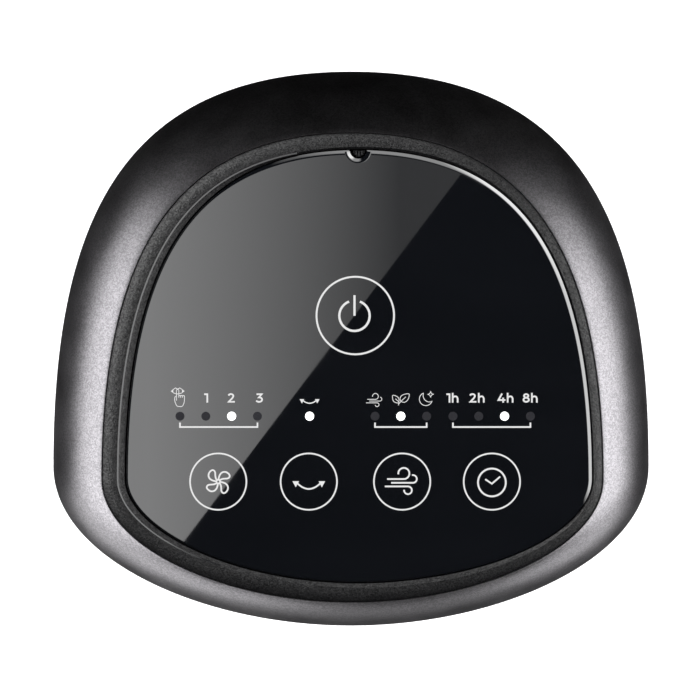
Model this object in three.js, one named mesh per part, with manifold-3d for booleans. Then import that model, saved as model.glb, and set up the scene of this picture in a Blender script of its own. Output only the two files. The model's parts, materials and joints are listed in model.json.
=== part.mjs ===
// Oscillating tower fan with a rear intake filter, built as an assembly of separate pieces.
// Millimetres. +Z is up, -Y is the front, and the origin is on the floor under the swivel axis.
// A D-shaped column turns on a round weighted base. It holds a crossflow wheel with its motor, the swing
// motor, the duct walls, a pull-off intake cover with its filter, and a touch panel on top.
import * as THREE from "three";
import { mergeVertices } from "three/addons/utils/BufferGeometryUtils.js";
import Module from "manifold-3d";

const wasm = await Module();
wasm.setup();

// ---- driving dimensions ----

const TURN = 2 * Math.PI;
const GAP = 0.3; // between pieces that touch
const RUN = 0.4; // running clearance of a turning piece
const WALL = 2.4; // moulded shell thickness
const FAR = 200; // reach of a cutter that passes right through

// Plan outlines of the column: half of each is two Bezier curves, rear centre to widest to front centre.
const BODY = { rear: 74.5, front: 73.6, half: 79.6, widest: -31, rearPull: 63, rise: 63, drop: 24.5, frontPull: 40 };
const SEAM = { rear: 56, front: 64.8, half: 64.8, widest: -33.3, rearPull: 44.8, rise: 59.8, drop: 17.3, frontPull: 33.5 };
const CURVE_STEPS = 8; // straight pieces per Bezier curve

// Heights of the column's joints
const RIM_Z = 950;
const FOOT_Z = 40.3;
const FLOOR_Z = 43.3;
const SHELL_Z = 46;
const LOWER_DECK_Z = 131;
const UPPER_DECK_Z = 806;
const COVER_Z = 905;
const DECK = 2.5;

// Base
const BASE_R = 140;
const BASE_SIDES = 44;
const FOOT_H = 5;
const FOOT_R = 9;
const FEET_R = 116; // circle of the rubber feet
const PLATE_TOP = 8;
const BASE_TOP_Z = 33;
const HUB_WALL = 3;
const BASE_SCREW_R = 101; // circle of the base screws
const SCREW_HOLE = 1.85;
const GLAND = { r: 4, bore: 2.9, y0: 125, y1: 139.4, z: 10.4 };

// Swivel: a hollow spindle in the base's hub, turned by a pinion that rolls round a fixed sector
const SPINDLE_R = 19.5;
const SPINDLE_BORE = 14;
const SPINDLE_SCREW_R = 26; // circle of the spindle's screws
const GEAR_MODULE = 1.25;
const SECTOR_TEETH = 48;
const SECTOR_SPAN = 19; // teeth that the sector really carries
const PINION_TEETH = 12;
const BACKLASH = 0.12;
const GEAR_H = 5.5;
const PINION_Y = (GEAR_MODULE * (SECTOR_TEETH + PINION_TEETH)) / 2;
const MOTOR_LUG_X = 29.5;

// Blower
const WHEEL_R = 45;
const WHEEL_Z = [138, 800];
const WHEEL_DISCS = 4;
const BLADES = 16;
const BLADE_CHORD = 12;
const SHAFT_R = 4;
const AXLE_R = 3;
const MOTOR_R = 33;
const MOTOR_MOUNT_R = 38; // circle of the motor's grommets

// Front grille and rear intake
const SPLIT_Y = BODY.widest; // parting plane of the front and rear shells
const GRILLE = { z0: 148, z1: 798, columns: 13, pitch: 8.5, slot: 5.4, rows: 4, rib: 6 };
const INTAKE = { half: 46.5, z0: 160, z1: 786, rows: 16, border: 13, slot: 31, mullion: 4, reach: 38.5 };
const FILTER = { half: 42, front: 48.5, depth: 9, z0: 172, z1: 774, wall: 3, pleats: 16 };

// Carrying handle
const HANDLE = { half: 40, z0: 824, z1: 860, floor: 47, wall: 2, gripY: 66, gripDepth: 9 };
const HOUSING_SCREWS = { x: 30, z: [52, 893] };
const HANDLE_SPLIT_Z = 804; // joint between the rear housing and the housing round the handle

// Head: heights below the rim, except where the note says otherwise
const HEAD = { cover: COVER_Z - RIM_Z, shoulder: -28, ledge: [-11, -8.5], glass: [-3.8, -0.8], board: [-19.6, -18] };
const GLASS = { inset: 4.45, x: 1.4 }; // inset from the seam line, and how far right of the centre line it sits
const CARRIER_INSET = 6.9; // from the seam line
const PRINT_X = 1.1; // the printed symbols sit this far right of the centre line
const NOTCH = { x: 1.8, r: 2.2 };
const BUTTONS = { power: [0, 8.9], speed: [-35.5, -34.1], swing: [-12.1, -34.1], mode: [12.1, -34.1], timer: [35.5, -34.1] };
const LED_PITCH = 6.67;
const LED_Y = -17.1;
const LED_GROUPS = [[-45.4, 4], [-11.9, 1], [5.2, 3], [25.4, 4]]; // x of the first light, and how many

// ---- materials ----

const finish = (color, roughness, metalness = 0) =>
  new THREE.MeshStandardMaterial({ color, roughness, metalness });
const SATIN = finish(0x3a393d, 0.4, 0.5);
const MATTE = finish(0x2c2b2e, 0.65);
const GLOSS = finish(0x111317, 0.06);
const INNER = finish(0x1c1c1e, 0.6);
const RUBBER = finish(0x161616, 0.9);
const STEEL = finish(0x9a9ca0, 0.35, 1);
const OXIDE = finish(0x2a2a2c, 0.45, 1);
const WHITE = finish(0xe8e6df, 0.45);
const BOARD = finish(0x14532d, 0.5);
const PAPER = finish(0xe4e2da, 0.95);
const BRASS = finish(0xb9975b, 0.35, 1);

// ---- solids ----

function solid(geometry) {
  geometry.deleteAttribute("normal");
  geometry.deleteAttribute("uv");
  const merged = mergeVertices(geometry, 1e-4);
  const vertProperties = merged.attributes.position.array;
  const triVerts = new Uint32Array(merged.index.array);
  return new wasm.Manifold(new wasm.Mesh({ numProp: 3, vertProperties, triVerts }));
}

function geometryOf(manifold) {
  const { numProp, numVert, triVerts, vertProperties } = manifold.getMesh();
  const corners = new Float32Array(numVert * 3);
  for (let i = 0; i < numVert; i++) {
    corners.set(vertProperties.subarray(i * numProp, i * numProp + 3), i * 3);
  }
  return new THREE.BufferGeometry()
    .setAttribute("position", new THREE.BufferAttribute(corners, 3))
    .setIndex(new THREE.BufferAttribute(triVerts, 1));
}

const join = (...solids) => solids.reduce((a, b) => a.add(b));
const cut = (from, ...cutters) => cutters.reduce((a, b) => a.subtract(b), from);

function box(x0, x1, y0, y1, z0, z1) {
  const geometry = new THREE.BoxGeometry(x1 - x0, y1 - y0, z1 - z0);
  return solid(geometry.translate((x0 + x1) / 2, (y0 + y1) / 2, (z0 + z1) / 2));
}

function cylinder(r, z0, z1, x = 0, y = 0, sides = 32) {
  const geometry = new THREE.CylinderGeometry(r, r, z1 - z0, sides).rotateX(Math.PI / 2);
  return solid(geometry.translate(x, y, (z0 + z1) / 2));
}

// A cylinder that points to the rear.
function rearCylinder(r, y0, y1, x, z, sides = 12) {
  const geometry = new THREE.CylinderGeometry(r, r, y1 - y0, sides);
  return solid(geometry.translate(x, (y0 + y1) / 2, z));
}

function tube(outer, inner, z0, z1, sides = 40) {
  return cut(cylinder(outer, z0, z1, 0, 0, sides), cylinder(inner, z0 - 1, z1 + 1, 0, 0, sides));
}

// A solid of revolution from a closed, counter-clockwise profile of [radius, z] pairs.
function lathe(profile, sides) {
  const closed = [...profile, profile[0]].map(([r, z]) => new THREE.Vector2(r, z));
  return solid(new THREE.LatheGeometry(closed, sides).rotateX(Math.PI / 2));
}

function prism(points, z0, z1) {
  const geometry = new THREE.ExtrudeGeometry(new THREE.Shape(points), { depth: z1 - z0, bevelEnabled: false });
  return solid(geometry.translate(0, 0, z0));
}

function ringPrism(outer, inner, z0, z1) {
  return cut(prism(outer, z0, z1), prism(inner, z0 - 1, z1 + 1));
}

// A closed ring-like solid through a loop of outlines, up the outside and down the inside.
function ringLoft(rings) {
  const count = rings[0].points.length;
  const corners = rings.flatMap(({ points, z }) => points.flatMap((p) => [p.x, p.y, z]));
  const faces = [];
  rings.forEach((_, i) => {
    const low = i * count;
    const high = ((i + 1) % rings.length) * count;
    for (let k = 0; k < count; k++) {
      const next = (k + 1) % count;
      faces.push(low + k, low + next, high + next, low + k, high + next, high + k);
    }
  });
  const geometry = new THREE.BufferGeometry()
    .setAttribute("position", new THREE.BufferAttribute(new Float32Array(corners), 3))
    .setIndex(faces);
  return solid(geometry);
}

// A pan-head screw with its head's seat at z = 0 and its shank below.
function screw(length, r) {
  return join(cylinder(r, -length, 0.1, 0, 0, 6), cylinder(2 * r, 0, 1.2 * r, 0, 0, 12));
}

// ---- plan outlines ----

// The outline, moved inwards by `inset`, counter-clockwise as seen from above.
function outline(d, inset = 0, steps = CURVE_STEPS) {
  const v = (x, y) => new THREE.Vector2(x, y);
  const widest = v(d.half, d.widest);
  const curves = [
    new THREE.CubicBezierCurve(v(0, d.rear), v(d.rearPull, d.rear), v(d.half, d.widest + d.rise), widest),
    new THREE.CubicBezierCurve(widest, v(d.half, d.widest - d.drop), v(d.frontPull, -d.front), v(0, -d.front)),
  ];
  const right = curves.flatMap((curve) =>
    Array.from({ length: steps }, (_, i) => {
      const inward = curve.getTangent(i / steps).rotateAround(v(0, 0), -TURN / 4);
      return curve.getPoint(i / steps).addScaledVector(inward, inset);
    }));
  right.push(v(0, inset - d.front));
  const left = right.slice(1, -1).map((p) => v(-p.x, p.y));
  return [...left, ...right.reverse()];
}

// How far to the rear the body's outline is at x.
function rearY(x, inset = 0) {
  const rear = outline(BODY, inset, 80).filter((p) => p.x >= 0 && p.y > 0);
  const off = (p) => Math.abs(p.x - x);
  return rear.reduce((best, p) => (off(p) < off(best) ? p : best)).y;
}

const mix = (a, b, share) => a.map((p, i) => p.clone().lerp(b[i], share));

function onCircle(count, radius, start = 0) {
  return Array.from({ length: count }, (_, i) => {
    const a = start + (i / count) * TURN;
    return [radius * Math.cos(a), radius * Math.sin(a)];
  });
}

// ---- assembly ----

const fan = new THREE.Group();
const base = new THREE.Group();
const column = new THREE.Group();
const swingDrive = new THREE.Group();
const head = new THREE.Group();
swingDrive.position.y = PINION_Y;
head.position.z = RIM_Z;
column.add(swingDrive, head);
fan.add(base, column);

function add(parent, name, shape, material, x = 0, y = 0, z = 0) {
  const mesh = new THREE.Mesh(geometryOf(shape), material);
  mesh.name = name;
  mesh.position.set(x, y, z);
  parent.add(mesh);
  return mesh;
}

// ---- base ----

const glandHole = rearCylinder(GLAND.r + GAP, GLAND.y0 - 4, FAR, 0, GLAND.z, 20);
const baseScrewSpots = onCircle(4, BASE_SCREW_R, TURN / 8);

function makeBaseCover() {
  const rimInner = BASE_R - 2.5;
  const hub = SPINDLE_R + RUN;
  const underside = BASE_TOP_Z - HUB_WALL;
  const profile = [
    [rimInner, FOOT_H], [BASE_R, FOOT_H], [BASE_R, 12], [BASE_R - 1.2, 15], [BASE_R - 5, 16.6],
    [78, 26], [66, BASE_TOP_Z], [hub, BASE_TOP_Z], [hub, underside], [62, underside], [76, 23.6],
    [rimInner, 13.6],
  ];
  const bosses = baseScrewSpots.map(([x, y]) => cylinder(4, PLATE_TOP + GAP, 20.5, x, y, 12));
  const pilots = baseScrewSpots.map(([x, y]) => cylinder(SCREW_HOLE, 0, 18, x, y, 8));
  add(base, "base_cover", cut(join(lathe(profile, BASE_SIDES), ...bosses), ...pilots, glandHole), MATTE);
}

function makeBaseInside() {
  const plate = cylinder(BASE_R - 2.5 - GAP, FOOT_H, PLATE_TOP, 0, 0, BASE_SIDES);
  const holes = baseScrewSpots.map(([x, y]) => cylinder(SCREW_HOLE, 0, 18, x, y, 8));
  add(base, "base_plate", cut(plate, glandHole, ...holes), INNER);
  add(base, "base_weight", tube(93, 40, PLATE_TOP + GAP, 17), STEEL);
  onCircle(4, FEET_R).forEach(([x, y], i) => {
    add(base, `rubber_foot_${i + 1}`, cylinder(FOOT_R, 0, FOOT_H - GAP, 0, 0, 20), RUBBER, x, y);
  });
  baseScrewSpots.forEach(([x, y], i) => {
    const mesh = add(base, `base_screw_${i + 1}`, screw(12, 1.5), STEEL, x, y, FOOT_H - GAP);
    mesh.rotation.x = Math.PI;
  });
}

function makeGland() {
  const bush = rearCylinder(GLAND.r, GLAND.y0, GLAND.y1, 0, GLAND.z, 20);
  const collar = rearCylinder(GLAND.r + 1.4, GLAND.y0 - 1.5, GLAND.y0 + 4, 0, GLAND.z, 20);
  const room = box(-10, 10, 100, GLAND.y0 + 5, PLATE_TOP + GAP, 14.4);
  const bore = rearCylinder(GLAND.bore, 100, FAR, 0, GLAND.z);
  add(base, "cord_gland", cut(join(bush, collar.intersect(room)), bore), RUBBER);
}

// ---- swivel ----

// An involute flank from the root to the tip, as [radius, half of the tooth's angle there] pairs.
function toothFlank(teeth) {
  const pitch = (GEAR_MODULE * teeth) / 2;
  const baseCircle = pitch * Math.cos((20 / 360) * TURN);
  const half = (TURN / 4 - BACKLASH / GEAR_MODULE) / teeth;
  const involute = (r) => Math.sqrt((r / baseCircle) ** 2 - 1) - Math.acos(baseCircle / r);
  const root = pitch - 1.2 * GEAR_MODULE;
  const tip = pitch + 0.85 * GEAR_MODULE;
  const start = Math.max(baseCircle, root);
  const angle = (r) => half + involute(pitch) - involute(r);
  return [[Math.min(root, start), angle(start)], [pitch, angle(pitch)], [tip, angle(tip)]];
}

// A spur gear's outline with teeth on `present` of its places, centred on the angle `middle`.
function gearOutline(teeth, present, middle) {
  const flank = toothFlank(teeth);
  return Array.from({ length: teeth }, (_, i) => i).flatMap((i) => {
    const place = i <= teeth / 2 ? i : i - teeth;
    const a = middle + (place * TURN) / teeth;
    const at = (r, d) => new THREE.Vector2(r * Math.cos(a + d), r * Math.sin(a + d));
    if (Math.abs(place) > (present - 1) / 2) return [at(flank[0][0], 0)];
    const left = flank.map(([r, d]) => at(r, d)).reverse();
    return [...flank.map(([r, d]) => at(r, -d)), ...left];
  });
}

const GEAR_Z = BASE_TOP_Z + GAP;
const spindleScrewSpots = onCircle(3, SPINDLE_SCREW_R, -TURN / 4);

function makeSwivel() {
  const sector = prism(gearOutline(SECTOR_TEETH, SECTOR_SPAN, TURN / 4), GEAR_Z, GEAR_Z + GEAR_H);
  add(base, "gear_sector", cut(sector, cylinder(SPINDLE_R + 4, 0, 60)), WHITE);
  add(base, "slide_ring", tube(57, 50, BASE_TOP_Z + GAP, FOOT_Z - GAP), WHITE);

  const halfTooth = TURN / PINION_TEETH / 2;
  const teeth = prism(gearOutline(PINION_TEETH, PINION_TEETH + 1, halfTooth - TURN / 4), GEAR_Z, GEAR_Z + GEAR_H);
  add(swingDrive, "swing_pinion", join(teeth, cylinder(3.2, GEAR_Z + 1, 47, 0, 0, 12)), WHITE);

  const flange = cylinder(32, FLOOR_Z + GAP, 46.6, 0, 0, 40);
  const stem = cylinder(SPINDLE_R, 17.5, 45, 0, 0, 40);
  const holes = spindleScrewSpots.map(([x, y]) => cylinder(SCREW_HOLE, 30, 50, x, y, 8));
  add(column, "swivel_spindle", cut(join(flange, stem), cylinder(SPINDLE_BORE, 0, 60), ...holes), WHITE);
  const nutTop = BASE_TOP_Z - HUB_WALL - RUN;
  add(column, "spindle_nut", tube(29, SPINDLE_R + GAP, nutTop - 4.6, nutTop), STEEL);
  spindleScrewSpots.forEach(([x, y], i) => {
    add(column, `spindle_screw_${i + 1}`, screw(5.7, 1.5), STEEL, x, y, 46.9);
  });
}

// ---- column structure ----

const shellZ = [SHELL_Z + GAP, COVER_Z - GAP];

function makeFoot() {
  const upstandTop = 58;
  const profile = [
    [5, FOOT_Z], [1.2, FOOT_Z + 1.1], [0, FOOT_Z + 3.6], [0, SHELL_Z], [WALL + GAP, SHELL_Z],
    [WALL + GAP, upstandTop], [5.2, upstandTop], [5.2, FOOT_Z + 0.1],
  ];
  const rim = ringLoft(profile.map(([inset, z]) => ({ points: outline(BODY, inset), z })));
  const floor = prism(outline(BODY, 5.1), FOOT_Z, FLOOR_Z);
  const skirt = tube(64, 60.5, 35.6, FOOT_Z + 0.5);
  const lugs = [-1, 1].map((side) => cylinder(4, FLOOR_Z - 0.3, 47, side * MOTOR_LUG_X, PINION_Y, 12));
  const holes = [
    cylinder(SPINDLE_R + GAP, 0, 60),
    cylinder(4.4, 0, 60, 0, PINION_Y, 16),
    ...spindleScrewSpots.map(([x, y]) => cylinder(SCREW_HOLE, FLOOR_Z - 2.4, 60, x, y, 8)),
    ...[-1, 1].map((side) => cylinder(SCREW_HOLE, FLOOR_Z - 0.8, 60, side * MOTOR_LUG_X, PINION_Y, 8)),
    ...[-1, 1].map((side) => rearCylinder(SCREW_HOLE, 50, FAR, side * HOUSING_SCREWS.x, HOUSING_SCREWS.z[0], 8)),
  ];
  add(column, "column_foot", cut(join(rim, floor, skirt, ...lugs), ...holes), SATIN);
}

function makeSwingMotor() {
  const low = 47.3;
  const can = cylinder(24, low, 64);
  const ears = box(-34, 34, -5, 5, low, low + 1.8);
  const holes = [-1, 1].map((side) => cylinder(SCREW_HOLE, 40, 60, side * MOTOR_LUG_X, 0, 8));
  const shaftHole = cylinder(3.9, 40, low + 3, 0, 0, 12);
  add(swingDrive, "swing_motor", cut(join(can, ears), shaftHole, ...holes), STEEL);
  [-1, 1].forEach((side, i) => {
    add(swingDrive, `swing_motor_screw_${i + 1}`, screw(5.7, 1.5), STEEL, side * MOTOR_LUG_X, 0, low + 1.8 + GAP);
  });
}

function makeFrontGrille() {
  const front = box(-FAR, FAR, -FAR, SPLIT_Y - GAP / 2, 0, RIM_Z);
  const shell = ringPrism(outline(BODY), outline(BODY, WALL), ...shellZ).intersect(front);
  const height = (GRILLE.z1 - GRILLE.z0 - (GRILLE.rows - 1) * GRILLE.rib) / GRILLE.rows;
  const slots = [];
  for (let row = 0; row < GRILLE.rows; row++) {
    const z = GRILLE.z0 + row * (height + GRILLE.rib);
    for (let i = 0; i < GRILLE.columns; i++) {
      const x = (i - (GRILLE.columns - 1) / 2) * GRILLE.pitch - GRILLE.slot / 2;
      slots.push(box(x, x + GRILLE.slot, -FAR, -50, z, z + height));
    }
  }
  add(column, "front_grille", cut(shell, ...slots), SATIN);
}

function makeRearHousing() {
  const rear = box(-FAR, FAR, SPLIT_Y + GAP / 2, FAR, 0, RIM_Z);
  const shell = ringPrism(outline(BODY), outline(BODY, WALL), ...shellZ).intersect(rear);
  const windowHalf = INTAKE.half + 0.5;
  const mouthHalf = HANDLE.half + HANDLE.wall + GAP;
  const cutters = [
    box(-windowHalf, windowHalf, 30, FAR, INTAKE.z0 - 0.5, INTAKE.z1 + 0.5),
    box(-mouthHalf, mouthHalf, 30, FAR, HANDLE.z0 - HANDLE.wall - GAP, HANDLE.z1 + HANDLE.wall + GAP),
  ];
  const seat = rearY(HOUSING_SCREWS.x) - 1.3;
  for (const z of HOUSING_SCREWS.z) {
    for (const x of [-HOUSING_SCREWS.x, HOUSING_SCREWS.x]) {
      cutters.push(rearCylinder(SCREW_HOLE, 55, FAR, x, z, 8), rearCylinder(3.5, seat, FAR, x, z));
    }
  }
  const whole = cut(shell, ...cutters);
  const between = (z0, z1) => whole.intersect(box(-FAR, FAR, -FAR, FAR, z0, z1));
  add(column, "rear_housing", between(0, HANDLE_SPLIT_Z - GAP / 2), SATIN);
  add(column, "handle_housing", between(HANDLE_SPLIT_Z + GAP / 2, RIM_Z), SATIN);
}

function makeHousingScrews() {
  const seat = rearY(HOUSING_SCREWS.x) - 1.3 + GAP;
  HOUSING_SCREWS.z.forEach((z, row) => {
    [-1, 1].forEach((side, i) => {
      const name = `housing_screw_${2 * row + i + 1}`;
      const mesh = add(column, name, screw(9, 1.5), OXIDE, side * HOUSING_SCREWS.x, seat, z);
      mesh.rotation.x = -TURN / 4;
    });
  });
}

function makeHandle() {
  const { half, z0, z1, floor, wall, gripY, gripDepth } = HANDLE;
  const outer = box(-half - wall, half + wall, floor - wall, FAR, z0 - wall, z1 + wall);
  const hollow = box(-half, half, floor, FAR, z0, z1);
  const room = prism(outline(BODY, GAP), z0 - 20, z1 + 20);
  add(column, "handle_cup", cut(outer, hollow).intersect(room), MATTE);
  const grip = box(GAP - half, half - GAP, gripY, FAR, z1 - gripDepth, z1 - GAP);
  add(column, "handle_grip", grip.intersect(room), MATTE);
}

function makeIntakeCover() {
  const { half, z0, z1, rows, border, slot, mullion, reach } = INTAKE;
  const panel = ringPrism(outline(BODY), outline(BODY, WALL), z0, z1).intersect(box(-half, half, 30, FAR, 0, RIM_Z));
  const pitch = (z1 - z0 - 2 * border) / rows;
  const slots = [];
  for (let row = 0; row < rows; row++) {
    const z = z0 + border + (row + 0.5) * pitch - slot / 2;
    slots.push(box(-reach, -mullion, 50, FAR, z, z + slot), box(mullion, reach, 50, FAR, z, z + slot));
  }
  add(column, "intake_cover", cut(panel, ...slots), SATIN);
}

function makeFilter() {
  const { half, front, depth, z0, z1, wall, pleats } = FILTER;
  const sides = cut(
    box(-half, half, front, front + depth, z0, z1),
    box(wall - half, half - wall, 0, FAR, z0 + wall, z1 - wall),
  );
  const ribs = [1, 2, 3].map((n) => {
    const z = z0 + ((z1 - z0) * n) / 4;
    return box(0.5 - half, half - 0.5, front, front + 1.2, z, z + 2.4);
  });
  const clipEnd = rearY(half + 2, WALL) - GAP;
  const clips = [z0 + 40, z1 - 52].flatMap((z) => [-half, half - wall].map((x) =>
    box(x, x + wall, front + depth - 0.1, clipEnd, z, z + 12)));
  add(column, "filter_frame", join(sides, ...ribs, ...clips), INNER);

  const width = 2 * (half - wall - GAP);
  const folds = Array.from({ length: 2 * pleats + 1 }, (_, i) =>
    new THREE.Vector2(-width / 2 + (i * width) / (2 * pleats), front + (i % 2 ? 7.4 : 1.6)));
  const back = folds.map((p) => new THREE.Vector2(p.x, p.y + 1.2)).reverse();
  add(column, "filter_media", prism([...folds, ...back], z0 + wall + GAP, z1 - wall - GAP), PAPER);
}

// ---- blower ----

const motorMountSpots = onCircle(3, MOTOR_MOUNT_R, TURN / 4);
const DUCT_Z = [LOWER_DECK_Z + DECK + GAP, UPPER_DECK_Z - GAP];

function makeDecks() {
  const plan = outline(BODY, WALL + GAP);
  const mounts = motorMountSpots.map(([x, y]) => cylinder(2, 100, 150, x, y, 8));
  const lower = prism(plan, LOWER_DECK_Z, LOWER_DECK_Z + DECK);
  add(column, "lower_deck", cut(lower, cylinder(12, 100, 150, 0, 0, 20), ...mounts), INNER);
  const seat = cylinder(14, UPPER_DECK_Z + 1, UPPER_DECK_Z + 12, 0, 0, 24);
  const upper = join(prism(plan, UPPER_DECK_Z, UPPER_DECK_Z + DECK), seat);
  add(column, "upper_deck", cut(upper, cylinder(9.3, 790, 830, 0, 0, 24)), INNER);
  add(column, "axle_bush", tube(9, AXLE_R + GAP, UPPER_DECK_Z, UPPER_DECK_Z + 11, 20), RUBBER);
}

// A standing wall along plan points, of even thickness on the left of the way they run.
function ductWall(path, thickness) {
  const curve = new THREE.SplineCurve(path.map(([x, y]) => new THREE.Vector2(x, y)));
  const stations = Array.from({ length: 13 }, (_, i) => i / 12);
  const near = stations.map((t) => curve.getPoint(t));
  const far = stations.map((t) => {
    const across = curve.getTangent(t).rotateAround(new THREE.Vector2(), TURN / 4);
    return curve.getPoint(t).addScaledVector(across, thickness);
  });
  return prism([...near, ...far.reverse()], ...DUCT_Z);
}

function makeDuct() {
  // The scroll opens steadily from the wheel's rim, from the right rear to the outlet.
  const scroll = Array.from({ length: 7 }, (_, i) => {
    const bearing = ((38 + i * 15.5) / 360) * TURN;
    const r = WHEEL_R + 3.5 + i * 2.2;
    return [r * Math.sin(bearing), r * Math.cos(bearing)];
  });
  add(column, "scroll_guide", ductWall([...scroll, [62, -50]], 2), INNER);
  const tongue = [[-56, -50], [-50, -36], [-47.5, -24], [-49.5, -14], [-52, 0], [-52, 25], [-51.5, 44]];
  add(column, "tongue_guide", ductWall(tongue, 2), INNER);
}

// One forward-curved blade in plan, from near the wheel's rim inwards.
function bladeOutline(angle) {
  const outerR = WHEEL_R - 0.6;
  const thickness = 1.3;
  const at = (s, offset) => {
    const r = outerR - s * BLADE_CHORD;
    const a = angle + 0.16 * Math.sin((TURN / 4) * s) + 0.06 * s + offset / r;
    return new THREE.Vector2(r * Math.cos(a), r * Math.sin(a));
  };
  const stations = [0, 0.5, 1];
  return [...stations.map((s) => at(s, 0)).reverse(), ...stations.map((s) => at(s, thickness))];
}

function makeWheel() {
  const [low, high] = WHEEL_Z;
  const discs = Array.from({ length: WHEEL_DISCS }, (_, i) => {
    const z = low + ((high - low - 2) * i) / (WHEEL_DISCS - 1);
    const end = i === 0 || i === WHEEL_DISCS - 1;
    return end ? cylinder(WHEEL_R, z, z + 2) : tube(WHEEL_R, WHEEL_R - 13, z, z + 2, 32);
  });
  const blades = Array.from({ length: BLADES }, (_, i) =>
    prism(bladeOutline((i * TURN) / BLADES), low + 1, high - 1));
  const hubs = [cylinder(9, low, low + 16, 0, 0, 20), cylinder(8, high - 14, high, 0, 0, 20)];
  const bores = [
    cylinder(SHAFT_R + GAP, 100, low + 14, 0, 0, 16),
    cylinder(AXLE_R + GAP, high - 12, 850, 0, 0, 16),
  ];
  add(column, "fan_wheel", cut(join(...discs, ...blades, ...hubs), ...bores), INNER);
  add(column, "motor_shaft", cylinder(SHAFT_R, 84, low + 13.5, 0, 0, 16), STEEL);
  add(column, "wheel_axle", cylinder(AXLE_R, high - 11.5, UPPER_DECK_Z + 10, 0, 0, 16), STEEL);
}

function makeFanMotor() {
  const body = join(
    cylinder(26, 80, 86.1),
    cylinder(MOTOR_R, 86, 122),
    cylinder(43, 121.9, 124.5, 0, 0, 36),
    cylinder(9, 124.4, 129, 0, 0, 20),
  );
  const mounts = motorMountSpots.map(([x, y]) => cylinder(2, 100, 150, x, y, 8));
  add(column, "fan_motor", cut(body, cylinder(SHAFT_R + GAP, 70, 140, 0, 0, 16), ...mounts), STEEL);
  motorMountSpots.forEach(([x, y], i) => {
    add(column, `motor_grommet_${i + 1}`, tube(5.5, 2, 124.8, LOWER_DECK_Z - GAP, 12), RUBBER, x, y);
  });
}

function makePowerBoard() {
  const face = -54;
  const parts = [
    box(-42, 42, face - 1.6, face, FLOOR_Z + GAP, 118), // the board
    box(-34, -10, face - 0.1, -40, 62, 78), // transformer
    rearCylinder(8, face - 0.1, -37, 22, 72, 16), // capacitor
    box(4, 16, face - 0.1, -44, 92, 106), // relay
    box(-30, -8, face - 0.1, -46, 96, 104), // connector
  ];
  add(column, "power_board", join(...parts), BOARD);
}

// ---- head ----

// Rings of the shoulder, which turns from the column's wall towards the panel along part of an ellipse.
function shoulderRings(inset, drop) {
  const sweep = (65 / 360) * TURN;
  const steps = 4;
  const top = -GAP - drop;
  return Array.from({ length: steps + 1 }, (_, i) => {
    const a = (sweep * i) / steps;
    const share = (1 - Math.cos(a)) / (1 - Math.cos(sweep));
    const rise = Math.sin(a) / Math.sin(sweep);
    return {
      points: mix(outline(BODY, inset), outline(SEAM, 0.1 * inset), share),
      z: HEAD.shoulder - drop + (top + drop - HEAD.shoulder) * rise,
    };
  });
}

function makeTopCover() {
  const skirt = [[5, 5], [5, -20], [WALL + GAP, -20], [WALL + GAP, 0], [0, 0]].map(([inset, z]) =>
    ({ points: outline(BODY, inset), z: HEAD.cover + z }));
  const rings = [...shoulderRings(0, 0), ...shoulderRings(WALL, 2.6).reverse(), ...skirt];
  const ledge = ringPrism(mix(outline(BODY), outline(SEAM), 0.45), outline(SEAM, 5), ...HEAD.ledge);
  const holes = [-1, 1].map((side) =>
    rearCylinder(SCREW_HOLE, 50, FAR, side * HOUSING_SCREWS.x, HOUSING_SCREWS.z[1] - RIM_Z, 8));
  add(head, "top_cover", cut(join(ringLoft(rings), ledge), ...holes), SATIN);
}

// The glass panel's outline, moved outwards.
const glassOutline = (grow = 0) =>
  outline(SEAM, GLASS.inset - grow).map((p) => p.clone().setX(p.x + GLASS.x));

// A ring that is wider on the left, where its inner band slopes down to the glass.
function makeBezel() {
  const low = HEAD.ledge[1] + GAP;
  const outer = [[0.6, low], [0.6, -0.9], [1, -0.5], [2.3, -0.8]].map(([inset, z]) =>
    ({ points: outline(SEAM, inset), z }));
  const inner = [-1.5, low].map((z) => ({ points: glassOutline(GAP), z }));
  add(head, "bezel_ring", ringLoft([...outer, ...inner]), MATTE);
}

function makeGlass() {
  const notchY = SEAM.rear - GLASS.inset;
  const plan = glassOutline();
  const [low, high] = HEAD.glass;
  const notch = cylinder(NOTCH.r, low - 1, high + 1, NOTCH.x, notchY, 16);
  add(head, "glass_panel", cut(prism(plan, low, high), notch), GLOSS);
  const tab = cylinder(NOTCH.r - GAP, low, high - 0.4, NOTCH.x, notchY, 16).intersect(prism(plan, low - 1, high + 1));
  const grooves = [-0.9, 0.4].map((x) => box(NOTCH.x + x, NOTCH.x + x + 0.5, 40, 60, high - 1.2, high + 1));
  add(head, "locating_tab", cut(tab, ...grooves), INNER);
}

const ledSpots = LED_GROUPS.flatMap(([x, count]) =>
  Array.from({ length: count }, (_, i) => PRINT_X + x + i * LED_PITCH));

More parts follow.
